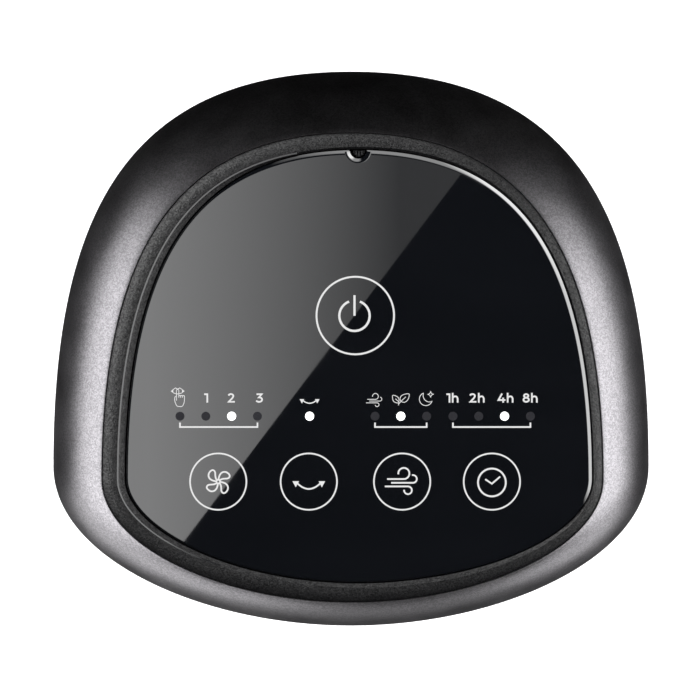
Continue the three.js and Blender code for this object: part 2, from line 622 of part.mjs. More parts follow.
function makePanelInside() {
  const top = HEAD.glass[0] - GAP;
  const [boardLow, boardHigh] = HEAD.board;
  const underLedge = HEAD.ledge[0] - GAP;
  const carrier = prism(outline(SEAM, CARRIER_INSET), underLedge - 0.1, top);
  const rim = ringPrism(outline(SEAM, 3.2), outline(SEAM, 9), underLedge - 2.7, underLedge);
  const posts = [[-40, 10], [40, 10], [-24, -50], [24, -50]].map(([x, y]) =>
    cylinder(3, boardHigh + GAP, underLedge, x, y, 12));
  const wells = ledSpots.map((x) => box(x - 1.5, x + 1.5, LED_Y - 1.5, LED_Y + 1.5, -30, 0));
  const springHoles = Object.values(BUTTONS).map(([x, y]) => cylinder(4, -30, 0, PRINT_X + x, y, 12));
  add(head, "panel_carrier", cut(join(carrier, rim, ...posts), ...wells, ...springHoles), INNER);

  const parts = [
    prism(outline(SEAM, 11), boardLow, boardHigh),
    ...ledSpots.map((x) => box(x - 1, x + 1, LED_Y - 0.7, LED_Y + 0.7, boardHigh - 0.1, boardHigh + 0.8)),
    box(-12, 2, 18, 30, boardLow - 1.6, boardLow + 0.1), // controller
    box(20, 34, 14, 22, boardLow - 8, boardLow + 0.1), // connector
    box(-3, 3, 36, 42, boardHigh - 0.1, boardHigh + 5), // remote-control receiver
  ];
  add(head, "control_board", join(...parts), BOARD);
  for (const [name, [x, y]] of Object.entries(BUTTONS)) {
    const low = boardHigh + GAP;
    const high = HEAD.glass[0] - GAP;
    const middle = (low + high) / 2;
    const profile = [[0.8, low], [3.2, low], [2.2, middle], [3.2, high], [1.8, high], [1, middle]];
    add(head, `touch_spring_${name}`, lathe(profile, 8), BRASS, PRINT_X + x, y);
  }
}

makeBaseCover();
makeBaseInside();
makeGland();
makeSwivel();
makeFoot();
makeSwingMotor();
makeFrontGrille();
makeRearHousing();
makeHousingScrews();
makeHandle();
makeIntakeCover();
makeFilter();
makeDecks();
makeDuct();
makeWheel();
makeFanMotor();
makePowerBoard();
makeTopCover();
makeBezel();
makeGlass();
makePanelInside();

export default fan;
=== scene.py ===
import json
import math

import bmesh
import bpy
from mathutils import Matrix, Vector


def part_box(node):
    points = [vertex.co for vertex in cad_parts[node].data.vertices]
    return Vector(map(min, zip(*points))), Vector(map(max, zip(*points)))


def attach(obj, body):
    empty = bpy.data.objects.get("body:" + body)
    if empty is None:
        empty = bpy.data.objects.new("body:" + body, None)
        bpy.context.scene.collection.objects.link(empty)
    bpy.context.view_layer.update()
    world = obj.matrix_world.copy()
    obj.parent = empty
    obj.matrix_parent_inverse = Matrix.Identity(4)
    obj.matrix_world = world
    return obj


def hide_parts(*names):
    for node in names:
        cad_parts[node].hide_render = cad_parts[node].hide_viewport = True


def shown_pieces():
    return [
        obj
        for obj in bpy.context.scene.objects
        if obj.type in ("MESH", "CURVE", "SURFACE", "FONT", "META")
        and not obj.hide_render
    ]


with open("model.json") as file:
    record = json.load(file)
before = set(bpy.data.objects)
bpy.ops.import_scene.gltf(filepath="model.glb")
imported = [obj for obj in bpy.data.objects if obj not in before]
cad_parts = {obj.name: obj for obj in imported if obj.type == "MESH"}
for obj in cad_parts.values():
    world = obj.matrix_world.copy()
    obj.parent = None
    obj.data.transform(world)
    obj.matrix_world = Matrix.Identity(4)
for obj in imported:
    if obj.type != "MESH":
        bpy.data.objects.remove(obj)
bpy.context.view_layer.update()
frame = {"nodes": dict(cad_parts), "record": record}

# An oscillating tower fan, seen from straight above: a satin dark metallic head round a black glass
# touch panel. Lengths are in millimetres until piece() turns them into metres.

# ---- driving dimensions ----

MM = 0.001
WALL = 2.4
GAP = 0.3
RING = 256  # points round a smooth outline

# Plan outlines: half of each is two Bezier curves, rear centre to widest to front centre.
BODY = dict(rear=74.5, front=73.6, half=79.6, widest=-31, rear_pull=63, rise=63, drop=24.5, front_pull=40)
SEAM = dict(rear=56.2, front=65.15, half=64.8, widest=-33.3, rear_pull=44.8, rise=60, drop=17.5,
            front_pull=33.5)
SEAM_X = 0.38  # the seam sits a little to the right of the body's centre line


def span(node):
    """The lowest and highest corner of a CAD node, in millimetres."""
    return [[c / MM for c in corner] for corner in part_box(node)]


RIM_Z = span("top_cover")[1][2] + GAP
GLASS_Z = RIM_Z  # the top of the glass is level with the seam
SHELL_Z = [span("rear_housing")[0][2], span("handle_housing")[1][2]]
HOUSING_SPLIT_Z = span("rear_housing")[1][2] + GAP / 2
COVER_Z = span("top_cover")[0][2]
PAN_DEPTH = 17.7
FOOT_Z = span("column_foot")[1][2] - PAN_DEPTH

SHOULDER_Z = RIM_Z - 28
SHOULDER_SWEEP = math.radians(65)
# The glass: inset from the seam line, shift to the right and share of the seam's depth.
GLASS = dict(inset=4.3, x=1.4, depth=0.995)
# The ground edge of the glass: its width at the right rear, and its share of that at the left front.
GROUND = dict(width=0.97, narrow=0.4)
NOTCH = dict(x=1.85, y=51.65, r=2.2)

# The print on the glass. Its places are measured from x = PRINT_X, y = 0.
PRINT_X = 1.1
INK = 0.05
BUTTON_Y = -34
BUTTONS = dict(power=(0, 8.9), speed=(-35.4, BUTTON_Y), swing=(-12, BUTTON_Y), mode=(12.1, BUTTON_Y),
               timer=(35.3, BUTTON_Y))
POWER_R = 10.25
BUTTON_R = 7.48
RING_WIDTH = 0.4
SIGN_WIDTH = 0.42
FINE_WIDTH = 0.17
LED_PITCH = 6.67
LED_Y = -17.1
LED_R = dict(lit=1.14, unlit=1.16)
# For each group of lights: the first one's place, how many, and which of them is lit.
LED_GROUPS = dict(speed=(-45.28, 4, 2), swing=(-11.8, 1, 0), mode=(5.1, 3, 1), timer=(25.23, 4, 2))
SIGN_Y = -12.4  # the row of small signs over the lights
BRACKET_Y = LED_Y - 2.8

GRILLE = dict(z0=148, z1=798, columns=13, pitch=8.5, slot=5.4, rows=4, rib=6)
INTAKE = dict(half=46.5, z0=160, z1=786, rows=48, border=13, slot=6, pitch=12.5, mullion=4, reach=38.5)
HANDLE = dict(half=40, z0=824, z1=860, floor=47, wall=2, corner=5, grip_y=66, grip_depth=9)
SCREW_X = 30
SCREW_Z = (52, 893)
SCREW_SINK = 1.3  # from the shell's surface down to the seat of a screw's head
WHEEL_R = 45
WHEEL_Z = (138, 800)
BASE_R = 140
BASE_TOP_Z = 33
BASE_BORE_R = 19.9
GLAND_Z = 10.4

# ---- camera ----

CAMERA_X = -0.00026
CAMERA_Z = 1.7
LENS = 149.3
scene = bpy.context.scene
camera = bpy.data.objects.new("camera", bpy.data.cameras.new("camera"))
camera.location = (CAMERA_X, 0, CAMERA_Z)
camera.data.lens = LENS
camera.data.sensor_width = 36
camera.data.clip_start = 0.01
scene.collection.objects.link(camera)
scene.camera = camera

# ---- outlines ----


def bezier(points, t):
    a, b, c, d = (Vector(p) for p in points)
    s = 1 - t
    place = a * s**3 + b * (3 * s * s * t) + c * (3 * s * t * t) + d * t**3
    along = (b - a) * (s * s) + (c - b) * (2 * s * t) + (d - c) * (t * t)
    return place, along.normalized()


def rim(d, s, inset=0):
    """The outline at station s, moved inwards. Station 0 is the front centre, 1 right, 2 rear, 3 left."""
    s = s % 4
    side = -1 if s > 2 else 1
    if s > 2:
        s = 4 - s
    half, widest, rear, front = d["half"], d["widest"], d["rear"], -d["front"]
    if s >= 1:
        curve = [(0, rear), (d["rear_pull"], rear), (half, widest + d["rise"]), (half, widest)]
        place, along = bezier(curve, 2 - s)
    else:
        curve = [(half, widest), (half, widest - d["drop"]), (d["front_pull"], front), (0, front)]
        place, along = bezier(curve, 1 - s)
    place += Vector((along.y, -along.x)) * inset
    shift = SEAM_X if d is SEAM else 0
    return Vector((side * place.x + shift, place.y))


def station(d, x, rear):
    """The station where the outline is at x, on its rear or front."""
    low, high = (1.0, 2.0) if rear else (0.0, 1.0)
    for _ in range(40):
        middle = (low + high) / 2
        if (rim(d, middle).x > abs(x)) == rear:
            low = middle
        else:
            high = middle
    return low if x >= 0 else 4 - low


def rear_y(x):
    return rim(BODY, station(BODY, x, True)).y


def ring(d, inset, z):
    return [(*rim(d, 4 * i / RING, inset), z) for i in range(RING)]


def circle(r, z, steps, x=0, y=0):
    turn = [2 * math.pi * i / steps for i in range(steps)]
    return [(x + r * math.cos(a), y + r * math.sin(a), z) for a in turn]


def arc(x, y, r, start, end, steps=16):
    """Points of an arc, with its angles in degrees."""
    angles = [math.radians(start + (end - start) * i / steps) for i in range(steps + 1)]
    return [Vector((x + r * math.cos(a), y + r * math.sin(a))) for a in angles]


def flowing(points, closed=False, steps=6):
    """A smooth curve through the points."""
    p = [Vector(q) for q in points]
    count = len(p)
    curve = []

    def at(i):
        return p[i % count] if closed else p[min(max(i, 0), count - 1)]

    for i in range(count if closed else count - 1):
        a, b, c, d = at(i - 1), at(i), at(i + 1), at(i + 2)
        for k in range(steps):
            t = k / steps
            curve.append((b * 2 + (c - a) * t + (a * 2 - b * 5 + c * 4 - d) * t**2
                          + (b * 3 - a - c * 3 + d) * t**3) / 2)
    return curve if closed else curve + [p[-1]]


def offset(path, distance, closed):
    """The path moved to its left."""
    moved = []
    last = len(path) - 1
    for i, point in enumerate(path):
        before = point - path[i - 1] if closed or i > 0 else path[1] - point
        after = path[(i + 1) % len(path)] - point if closed or i < last else before
        before, after = before.normalized(), after.normalized()
        across = Vector((-before.y - after.y, before.x + after.x)).normalized()
        stretch = 1 / max(0.45, across.dot(Vector((-before.y, before.x))))
        moved.append(point + across * distance * stretch)
    return moved


# ---- solids: each is (corners, faces) ----


def loft(rings, capped=False):
    """Quads from ring to ring. Uncapped, the last ring joins the first."""
    count = len(rings[0])
    corners = [p for r in rings for p in r]
    faces = []
    for i in range(len(rings) - 1 if capped else len(rings)):
        low, high = i * count, (i + 1) % len(rings) * count
        for k in range(count):
            n = (k + 1) % count
            faces.append((low + k, low + n, high + n, high + k))
    if capped:
        faces.append(tuple(reversed(range(count))))
        faces.append(tuple(range(len(corners) - count, len(corners))))
    return corners, faces


def prism(outline, z0, z1):
    return loft([[(*p, z0) for p in outline], [(*p, z1) for p in outline]], capped=True)


def lathe(profile, steps):
    """A solid of revolution from a closed profile of (radius, z)."""
    return loft([circle(r, z, steps) for r, z in profile])


def turned(profile, steps, x=0, y=0):
    """A solid of revolution without a bore: the profile runs from bottom to top."""
    return loft([circle(r, z, steps, x, y) for r, z in profile], capped=True)


def block(x0, x1, y0, y1, z0, z1):
    return prism([(x0, y0), (x1, y0), (x1, y1), (x0, y1)], z0, z1)


def together(*solids):
    corners, faces = [], []
    for c, f in solids:
        start = len(corners)
        corners += c
        faces += [tuple(start + i for i in face) for face in f]
    return corners, faces


def pointing_rear(shape, x, y, z):
    """Turns a solid that stands on z = 0 so that it points to the rear from (x, y, z)."""
    return [(x + p[0], y + p[2], z - p[1]) for p in shape[0]], shape[1]


def pierced_shell(stations, levels, is_open):
    """A wall that follows the body's outline, with the cells where is_open(i, k) left out."""
    corners, index, faces = [], {}, []

    def corner(i, k, inner):
        if (i, k, inner) not in index:
            index[i, k, inner] = len(corners)
            corners.append((*rim(BODY, stations[i], inner * WALL), levels[k]))
        return index[i, k, inner]

    def filled(i, k):
        return 0 <= i < len(stations) - 1 and 0 <= k < len(levels) - 1 and not is_open(i, k)

    for i in range(len(stations) - 1):
        for k in range(len(levels) - 1):
            if not filled(i, k):
                continue
            cell = ((i, k), (i + 1, k), (i + 1, k + 1), (i, k + 1))
            faces.append(tuple(corner(*c, 0) for c in cell))
            faces.append(tuple(corner(*c, 1) for c in reversed(cell)))
            sides = {(i - 1, k): (3, 0), (i + 1, k): (1, 2), (i, k - 1): (0, 1), (i, k + 1): (2, 3)}
            for neighbour, (a, b) in sides.items():
                if not filled(*neighbour):
                    a, b = cell[a], cell[b]
                    faces.append((corner(*b, 0), corner(*a, 0), corner(*a, 1), corner(*b, 1)))
    return corners, faces


# ---- pieces ----

BEVEL_ANGLE = math.radians(35)  # edges sharper than this are rounded
FLAT_FROM = 9  # a face with this many corners or more is a flat cap, and is shaded flat


def settle(obj):
    """Applies the object's modifiers."""
    shape = obj.evaluated_get(bpy.context.evaluated_depsgraph_get())
    obj.data = bpy.data.meshes.new_from_object(shape)
    obj.modifiers.clear()


def raw(name, shape):
    mesh = bpy.data.meshes.new(name)
    mesh.from_pydata([tuple(c * MM for c in p) for p in shape[0]], [], shape[1])
    work = bmesh.new()
    work.from_mesh(mesh)
    bmesh.ops.recalc_face_normals(work, faces=work.faces)
    work.to_mesh(mesh)
    work.free()
    obj = bpy.data.objects.new(name, mesh)
    scene.collection.objects.link(obj)
    return obj


def cut_out(obj, *shapes):
    for shape in shapes:
        cutter = raw("cutter", shape)
        modifier = obj.modifiers.new("cut", "BOOLEAN")
        modifier.operation = "DIFFERENCE"
        modifier.solver = "EXACT"
        modifier.object = cutter
        settle(obj)
        bpy.data.objects.remove(cutter)


def piece(name, shape, material, body, replaces=(), bevel=0, cuts=(), sharp=38):
    obj = raw(name, shape)
    cut_out(obj, *cuts)
    if bevel:
        modifier = obj.modifiers.new("bevel", "BEVEL")
        modifier.width = bevel * MM
        modifier.segments = 2
        modifier.limit_method = "ANGLE"
        modifier.angle_limit = BEVEL_ANGLE
        settle(obj)
    obj.data.materials.clear()
    obj.data.materials.append(material)
    obj.data.shade_smooth()
    obj.data.set_sharp_from_angle(angle=math.radians(sharp))
    for face in obj.data.polygons:
        face.use_smooth = face.loop_total < FLAT_FROM
    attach(obj, body)
    if replaces:
        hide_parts(*replaces)
    return obj


# ---- materials ----


def blank(name, roughness=0.5, metallic=0.0, specular=0.5):
    material = bpy.data.materials.new(name)
    material.use_nodes = True
    shader = material.node_tree.nodes["Principled BSDF"]
    shader.inputs["Roughness"].default_value = roughness
    shader.inputs["Metallic"].default_value = metallic
    shader.inputs["Specular IOR Level"].default_value = specular
    return material, material.node_tree, shader


def node(tree, kind, **inputs):
    made = tree.nodes.new("ShaderNode" + kind)
    for name, value in inputs.items():
        socket = made.inputs[name.replace("_", " ")]
        if isinstance(value, bpy.types.NodeSocket):
            tree.links.new(value, socket)
        else:
            socket.default_value = value
    return made


def place(tree, stretch=(1, 1, 1)):
    """The point in the piece's own space, stretched along each axis."""
    coordinates = tree.nodes.new("ShaderNodeTexCoord").outputs["Object"]
    return node(tree, "Mapping", Vector=coordinates, Scale=stretch).outputs["Vector"]


def noise(tree, feature, detail=2.0, stretch=(1, 1, 1)):
    """Noise whose features are `feature` millimetres across."""
    scale = 1 / (feature * MM)
    return node(tree, "TexNoise", Vector=place(tree, stretch), Scale=scale, Detail=detail).outputs[0]


def grains(tree, feature):
    """An even random value for each grain."""
    cells = node(tree, "TexVoronoi", Vector=place(tree), Scale=1 / (feature * MM))
    return node(tree, "SeparateColor", Color=cells.outputs["Color"]).outputs[0]


def between(tree, value, low, high, start=0.3, end=0.7):
    """A colour or number that goes from low to high with the value."""
    if isinstance(low, (int, float)):
        made = node(tree, "MapRange", Value=value, From_Min=start, From_Max=end, To_Min=low, To_Max=high)
        return made.outputs["Result"]
    ramp = tree.nodes.new("ShaderNodeValToRGB")
    tree.links.new(value, ramp.inputs["Fac"])
    for element, at, colour in zip(ramp.color_ramp.elements, (start, end), (low, high)):
        element.position = at
        element.color = (*colour, 1)
    return ramp.outputs["Color"]


def drive(tree, shader, socket, value, low, high, start=0.3, end=0.7):
    """Lets an input of the shader go from low to high with the value."""
    tree.links.new(between(tree, value, low, high, start, end), shader.inputs[socket])


def relief(tree, shader, height, depth):
    """Bumps `depth` millimetres deep."""
    bump = node(tree, "Bump", Height=height, Distance=depth * MM)
    tree.links.new(bump.outputs["Normal"], shader.inputs["Normal"])


def glowing(shader, strength):
    shader.inputs["Emission Color"].default_value = (1, 1, 1, 1)
    shader.inputs["Emission Strength"].default_value = strength


def satin_paint():
    material, tree, shader = blank("satin_paint", metallic=1.0)
    flakes = grains(tree, 0.3)
    drive(tree, shader, "Base Color", flakes, (0.19, 0.185, 0.195), (0.31, 0.3, 0.315), 0.1, 0.95)
    drive(tree, shader, "Roughness", noise(tree, 9), 0.33, 0.38)
    relief(tree, shader, noise(tree, 0.35, 3), 0.03)
    return material


def matte_plastic():
    material, tree, shader = blank("matte_plastic")
    spots = noise(tree, 0.45, 4)
    drive(tree, shader, "Base Color", spots, (0.001, 0.001, 0.0012), (0.007, 0.0068, 0.0075))
    drive(tree, shader, "Roughness", noise(tree, 7), 0.36, 0.42)
    drive(tree, shader, "Specular IOR Level", grains(tree, 0.3), 0.2, 0.7, 0.05, 0.95)
    relief(tree, shader, spots, 0.12)
    return material


def polished_plastic():
    material, tree, shader = blank("polished_plastic")
    drive(tree, shader, "Roughness", noise(tree, 4), 0.06, 0.1)
    drive(tree, shader, "Base Color", noise(tree, 1), (0.006, 0.006, 0.007), (0.01, 0.01, 0.011))
    return material


def black_glass():
    material, tree, shader = blank("black_glass")
    wipe = noise(tree, 30, 3, (1, 2.5, 1))
    drive(tree, shader, "Roughness", wipe, 0.006, 0.016)
    drive(tree, shader, "Base Color", wipe, (0.0021, 0.0024, 0.0031), (0.0025, 0.0028, 0.0036))
    return material


def white_ink():
    material, tree, shader = blank("white_ink", roughness=0.6, specular=0.2)
    drive(tree, shader, "Base Color", noise(tree, 0.3), (0.1, 0.1, 0.1), (0.13, 0.13, 0.13))
    # painted glow: the white print gets light of its own, though it is no lamp, so it shows bright on the
    # dark glass
    glowing(shader, 0.62)
    return material


def lit_dot():
    material, tree, shader = blank("lit_dot")
    drive(tree, shader, "Base Color", noise(tree, 0.2), (0.9, 0.9, 0.9), (1, 1, 1))
    glowing(shader, 1.2)
    return material


def unlit_dot():
    material, tree, shader = blank("unlit_dot", roughness=0.75, specular=0.1)
    drive(tree, shader, "Base Color", noise(tree, 0.3), (0.013, 0.013, 0.016), (0.02, 0.02, 0.023))
    return material


def inner_plastic():
    material, tree, shader = blank("inner_plastic", specular=0.4)
    drive(tree, shader, "Base Color", noise(tree, 3, 4), (0.012, 0.012, 0.013), (0.022, 0.022, 0.024))
    drive(tree, shader, "Roughness", noise(tree, 12), 0.42, 0.58)
    relief(tree, shader, noise(tree, 0.6), 0.04)
    return material


def black_rubber():
    material, tree, shader = blank("black_rubber", roughness=0.85, specular=0.3)
    drive(tree, shader, "Base Color", noise(tree, 1.5, 4), (0.009, 0.009, 0.009), (0.018, 0.018, 0.018))
    relief(tree, shader, noise(tree, 0.5, 3), 0.05)
    return material


def plated_steel():
    material, tree, shader = blank("plated_steel", metallic=1.0)
    brushed = noise(tree, 0.5, 4, (1, 1, 12))
    drive(tree, shader, "Base Color", brushed, (0.42, 0.42, 0.43), (0.6, 0.6, 0.61))
    drive(tree, shader, "Roughness", brushed, 0.28, 0.42)
    relief(tree, shader, brushed, 0.02)
    return material


def black_oxide():
    material, tree, shader = blank("black_oxide", metallic=1.0)
    drive(tree, shader, "Base Color", noise(tree, 0.8, 4), (0.05, 0.05, 0.055), (0.11, 0.11, 0.115))
    drive(tree, shader, "Roughness", noise(tree, 0.5), 0.35, 0.5)
    return material


def white_acetal():
    material, tree, shader = blank("white_acetal")
    drive(tree, shader, "Base Color", noise(tree, 6, 3), (0.74, 0.73, 0.69), (0.82, 0.81, 0.77))
    drive(tree, shader, "Roughness", noise(tree, 2), 0.35, 0.45)
    return material


def green_board():
    material, tree, shader = blank("green_board", roughness=0.4)
    tracks = node(tree, "TexBrick", Vector=place(tree), Scale=160.0)
    tracks.inputs["Color1"].default_value = (0.012, 0.075, 0.03, 1)
    tracks.inputs["Color2"].default_value = (0.018, 0.1, 0.04, 1)
    tracks.inputs["Mortar"].default_value = (0.03, 0.16, 0.07, 1)
    tree.links.new(tracks.outputs["Color"], shader.inputs["Base Color"])
    relief(tree, shader, tracks.outputs["Fac"], 0.05)
    return material


def filter_paper():
    material, tree, shader = blank("filter_paper", roughness=0.95, specular=0.1)
    fibres = noise(tree, 0.7, 6, (1, 1, 0.25))
    drive(tree, shader, "Base Color", fibres, (0.66, 0.64, 0.58), (0.84, 0.83, 0.78))
    relief(tree, shader, fibres, 0.15)
    return material


def brass_wire():
    material, tree, shader = blank("brass_wire", metallic=1.0)
    drive(tree, shader, "Base Color", noise(tree, 0.8, 3), (0.5, 0.36, 0.15), (0.66, 0.5, 0.24))
    drive(tree, shader, "Roughness", noise(tree, 1.5), 0.25, 0.4)
    return material


satin = satin_paint()
matte = matte_plastic()
glass = black_glass()
# the print's material: white ink with a painted glow
ink = white_ink()
inner = inner_plastic()
rubber = black_rubber()
steel = plated_steel()
oxide = black_oxide()
acetal = white_acetal()
board = green_board()
paper = filter_paper()
brass = brass_wire()

SLOT_MATERIALS = {
    "satin_shell": satin, "matte_trim": matte, "gloss_panel": glass, "inner_plastic": inner,
    "rubber": rubber, "steel": steel, "black_screw": oxide, "white_bearing_plastic": acetal,
    "circuit_board": board, "filter_paper": paper, "brass_spring": brass,
}


def dress_cad_nodes():
    """Gives every CAD node the finish of its slot in the record."""
    for part in frame["record"]["subparts"]:
        obj = frame["nodes"][part["node"]]
        obj.data.materials.clear()
        obj.data.materials.append(SLOT_MATERIALS[part["material_slot"]])


# ---- head ----


def make_shoulder():
    """The painted cover: it curves from the body's outline up to the seam; a skirt sits in the shell."""
    top = RIM_Z - GAP
    steps = 28
    lip = 0.25

    def curve(inset, drop, seam_inset):
        rings = []
        for i in range(steps + 1):
            a = SHOULDER_SWEEP * i / steps
            share = (1 - math.cos(a)) / (1 - math.cos(SHOULDER_SWEEP))
            z = SHOULDER_Z - drop + (top - SHOULDER_Z) * math.sin(a) / math.sin(SHOULDER_SWEEP)
            wide, narrow = ring(BODY, inset, z), ring(SEAM, seam_inset, z)
            rings.append([(p[0] + (q[0] - p[0]) * share, p[1] + (q[1] - p[1]) * share, z)
                          for p, q in zip(wide, narrow)])
        return rings

    edge = [ring(SEAM, -0.08, top + 0.02), ring(SEAM, -0.02, top - 0.04), ring(SEAM, 0, top - 0.2)]
    under = [ring(SEAM, 0, top - 2.4)] + curve(WALL, 2.6, 0.24)[::-1][1:]
    low = COVER_Z + 20
    fit = WALL + GAP
    skirt = [(5, low + 5), (5, COVER_Z + 0.5), (4.6, COVER_Z), (fit + 0.4, COVER_Z), (fit, COVER_Z + 0.5),
             (fit, low), (0.5, low), (0.15, low + 0.12), (0, low + 0.5)]
    rings = curve(0, 0, -lip) + edge + under + [ring(BODY, inset, z) for inset, z in skirt]
    piece("shoulder_cover", loft(rings), satin, "column", ["top_cover"])


def ground_share(point):
    """The share of the ground edge's width at a point: all at the right rear, less at the left front."""
    facing = Vector(point[:2]).normalized().dot(Vector((0.87, 0.5)))
    return GROUND["narrow"] + (1 - GROUND["narrow"]) * min(1, max(0, (facing + 0.25) / 0.5))


def panel_ring(grow, z):
    """The glass panel's outline, moved outwards."""
    points = []
    for i in range(RING):
        s = 4 * i / RING
        missing = (1 - ground_share(rim(SEAM, s))) * GROUND["width"]
        x, y = rim(SEAM, s, GLASS["inset"] + missing - grow)
        points.append((x + GLASS["x"], y * GLASS["depth"], z))
    return points


def make_bezel():
    """A ring, wider on the left: its outer band rises to a crest, its inner band falls to the glass."""
    low = span("bezel_ring")[0][2]

    def crest(inset, z):
        """A ring that gives way where the glass comes close."""
        stations = [4 * i / RING for i in range(RING)]
        rooms = [GLASS["inset"] - GLASS["x"] * rim(SEAM, s).x / SEAM["half"] - 0.55 for s in stations]
        return [(*rim(SEAM, s, min(inset, room)), RIM_Z + z) for s, room in zip(stations, rooms)]

    outer = [(0.1, low - RIM_Z), (0.1, -0.75), (0.13, -0.56), (0.28, -0.43), (0.7, -0.23), (1.25, -0.03),
             (1.85, 0.12), (2.45, 0.21)]
    rings = [ring(SEAM, inset, RIM_Z + z) for inset, z in outer]
    rings += [crest(3.2, 0.265), crest(3.95, 0.28), crest(4.12, 0.26), crest(4.3, 0.14)]
    rings += [panel_ring(0.4, RIM_Z - 0.16), panel_ring(0.3, RIM_Z - 0.35), panel_ring(0.3, low)]
    trim = piece("bezel", loft(rings), matte, "column", ["bezel_ring"])

    # A polished land along the crest, where the crest is free of the glass.
    land = [(3.93, -0.1), (3.93, 0.29), (3.97, 0.33), (4.33, 0.33), (4.37, 0.29), (4.37, -0.1)]
    first, last, steps = 2.12, 3.62, 120
    stations = [first + (last - first) * i / steps for i in range(steps + 1)]
    strip = loft([[(*rim(SEAM, s, inset), RIM_Z + z) for inset, z in land] for s in stations], capped=True)
    return trim, piece("bezel_land", strip, polished_plastic(), "column", sharp=15)


def make_glass():
    """The glass panel: a ground edge all round, and a round notch at the rear."""
    edge = [Vector(p[:2]) for p in panel_ring(0, 0)]
    middle = Vector((NOTCH["x"], NOTCH["y"]))
    inside = [i for i, p in enumerate(edge) if (p - middle).length < NOTCH["r"] + 0.2]
    plan = edge[:inside[0]] + arc(*middle, NOTCH["r"], 0, -180, 24) + edge[inside[-1] + 1:]
    low = span("glass_panel")[0][2]
    ground = [(0, -0.34), (0.66, -0.105), (0.82, -0.062), (GROUND["width"], -0.03), (1.1, -0.01), (1.25, 0)]
    inwards = [(q - p) * ground_share(p) for p, q in zip(plan, offset(plan, 1, True))]
    rings = [(plan, low)]
    for inset, z in ground:
        rings.append(([p + way * inset for p, way in zip(plan, inwards)], GLASS_Z + z))
    shape = loft([[(*p, z) for p in points] for points, z in rings], capped=True)
    return piece("touch_glass", shape, glass, "column", ["glass_panel"], sharp=25)


def make_tab():
    """The ribbed key in the notch of the glass."""
    x, y = NOTCH["x"] + 0.2, NOTCH["y"]
    low = span("locating_tab")[0][2]
    body = prism(arc(x, y, NOTCH["r"] - 0.6, -180, 0, 20), low, GLASS_Z - 1.2)
    ribs = []
    half = 0.17
    for side in (-0.72, 0, 0.72):
        reach = 1.45 - abs(side) * 0.4
        at = x + side
        ribs.append(block(at - half, at + half, y - reach, y - 0.1, GLASS_Z - 1.3, GLASS_Z - 0.5))
    key = together(body, *ribs)
    piece("glass_key", key, inner, "column", ["locating_tab"], bevel=0.07)


def printed(name, marks, x=0, y=0, material=None):
    """Ink on the glass. A mark is a line or a loop with its width, or a filled area with width 0."""
    solids = []
    low, high = GLASS_Z - 0.02, GLASS_Z + INK
    for kind, points, width in marks:
        path = [Vector(p) + Vector((PRINT_X + x, y)) for p in points]
        if kind == "area":
            solids.append(prism(path, low, high))
            continue
        closed = kind == "loop"
        left, right = offset(path, width / 2, closed), offset(path, -width / 2, closed)
        if closed:
            solids.append(loft([[(*p, z) for p in side] for side, z in
                                ((right, low), (right, high), (left, high), (left, low))]))
        else:
            solids.append(prism(right + left[::-1], low, high))
    piece(name, together(*solids), material or ink, "column")


def lines(paths, width):
    return [("line", path, width) for path in paths]


def loop(r, width, steps=96, y=0):
    """A printed ring, by its outer radius."""
    return ("loop", arc(0, y, r - width / 2, 0, 360 - 360 / steps, steps - 1), width)


def button_ring():
    return loop(BUTTON_R, RING_WIDTH)


def disc(r):
    return ("area", arc(0, 0, r, 0, 345, 23), 0)


def make_power_sign():
    x, y = BUTTONS["power"]
    inner_x, inner_y = -0.2, -0.05
    gap = 21  # degrees left free at each side of the upright
    marks = [
        loop(POWER_R, 0.47),
        ("line", arc(inner_x, inner_y, 3.92, 90 + gap, 450 - gap, 48), 0.58),
        ("line", [(inner_x, inner_y), (inner_x, inner_y + 5.3)], 0.56),
    ]
    printed("print_power", marks, x, y)


def turned_by(points, quarters):
    for _ in range(quarters):
        points = [(-y, x) for x, y in points]
    return points


def make_fan_sign():
    petal = [(-0.42, 0.46), (-0.66, 1.0), (-0.76, 1.6), (-0.8, 2.3), (-1.05, 2.8), (-1.53, 2.97),
             (-2.05, 2.65), (-2.43, 2.08), (-2.5, 1.45), (-2.25, 0.84), (-1.61, 0.36), (-0.6, 0.06)]
    marks = [button_ring(), loop(0.69, 0.42, 32)]
    marks += lines([flowing(turned_by(petal, quarter)) for quarter in range(4)], SIGN_WIDTH)
    printed("print_speed", marks, *BUTTONS["speed"])


def double_arrow(half, depth, head, width):
    """A shallow smile of an arc with a triangle at each end."""
    right = [(half * 0.22, -depth * 0.92), (half * 0.45, -depth * 0.7), (half * 0.69, -depth * 0.3)]
    left = [(-x, y) for x, y in reversed(right)]
    marks = [("line", flowing(left + [(0, -depth)] + right), width)]
    for side in (-1, 1):
        triangle = [(half, 0), (half - head, 0), (half - head / 2, -0.92 * head)]
        marks.append(("area", [(side * x, y) for x, y in triangle], 0))
    return marks


def make_swing_sign():
    x, y = BUTTONS["swing"]
    printed("print_swing_ring", [button_ring()], x, y)
    printed("print_swing", double_arrow(4.22, 2, 1.7, SIGN_WIDTH), x, y + 0.1)


def make_wind_sign():
    upper = [(-3.87, 0.66), (0.3, 0.66)] + arc(0.45, 2.1, 1.44, -86, 188, 24)
    middle = [(-2.83, -0.31)] + arc(2.8, 0.69, 1, -90, 105)
    lower = [(-4.46, -1.24)] + arc(1.52, -2.24, 1, 90, -188, 20)
    marks = [button_ring()] + lines((upper, middle, lower), SIGN_WIDTH)
    printed("print_wind", marks, *BUTTONS["mode"])


def make_clock_sign():
    marks = [button_ring(), loop(3.82, 0.46, 64, y=-0.22)]
    marks += lines([[(-1.72, 0.6), (0, -0.54), (2.14, 1.3)]], SIGN_WIDTH)
    printed("print_clock", marks, *BUTTONS["timer"])


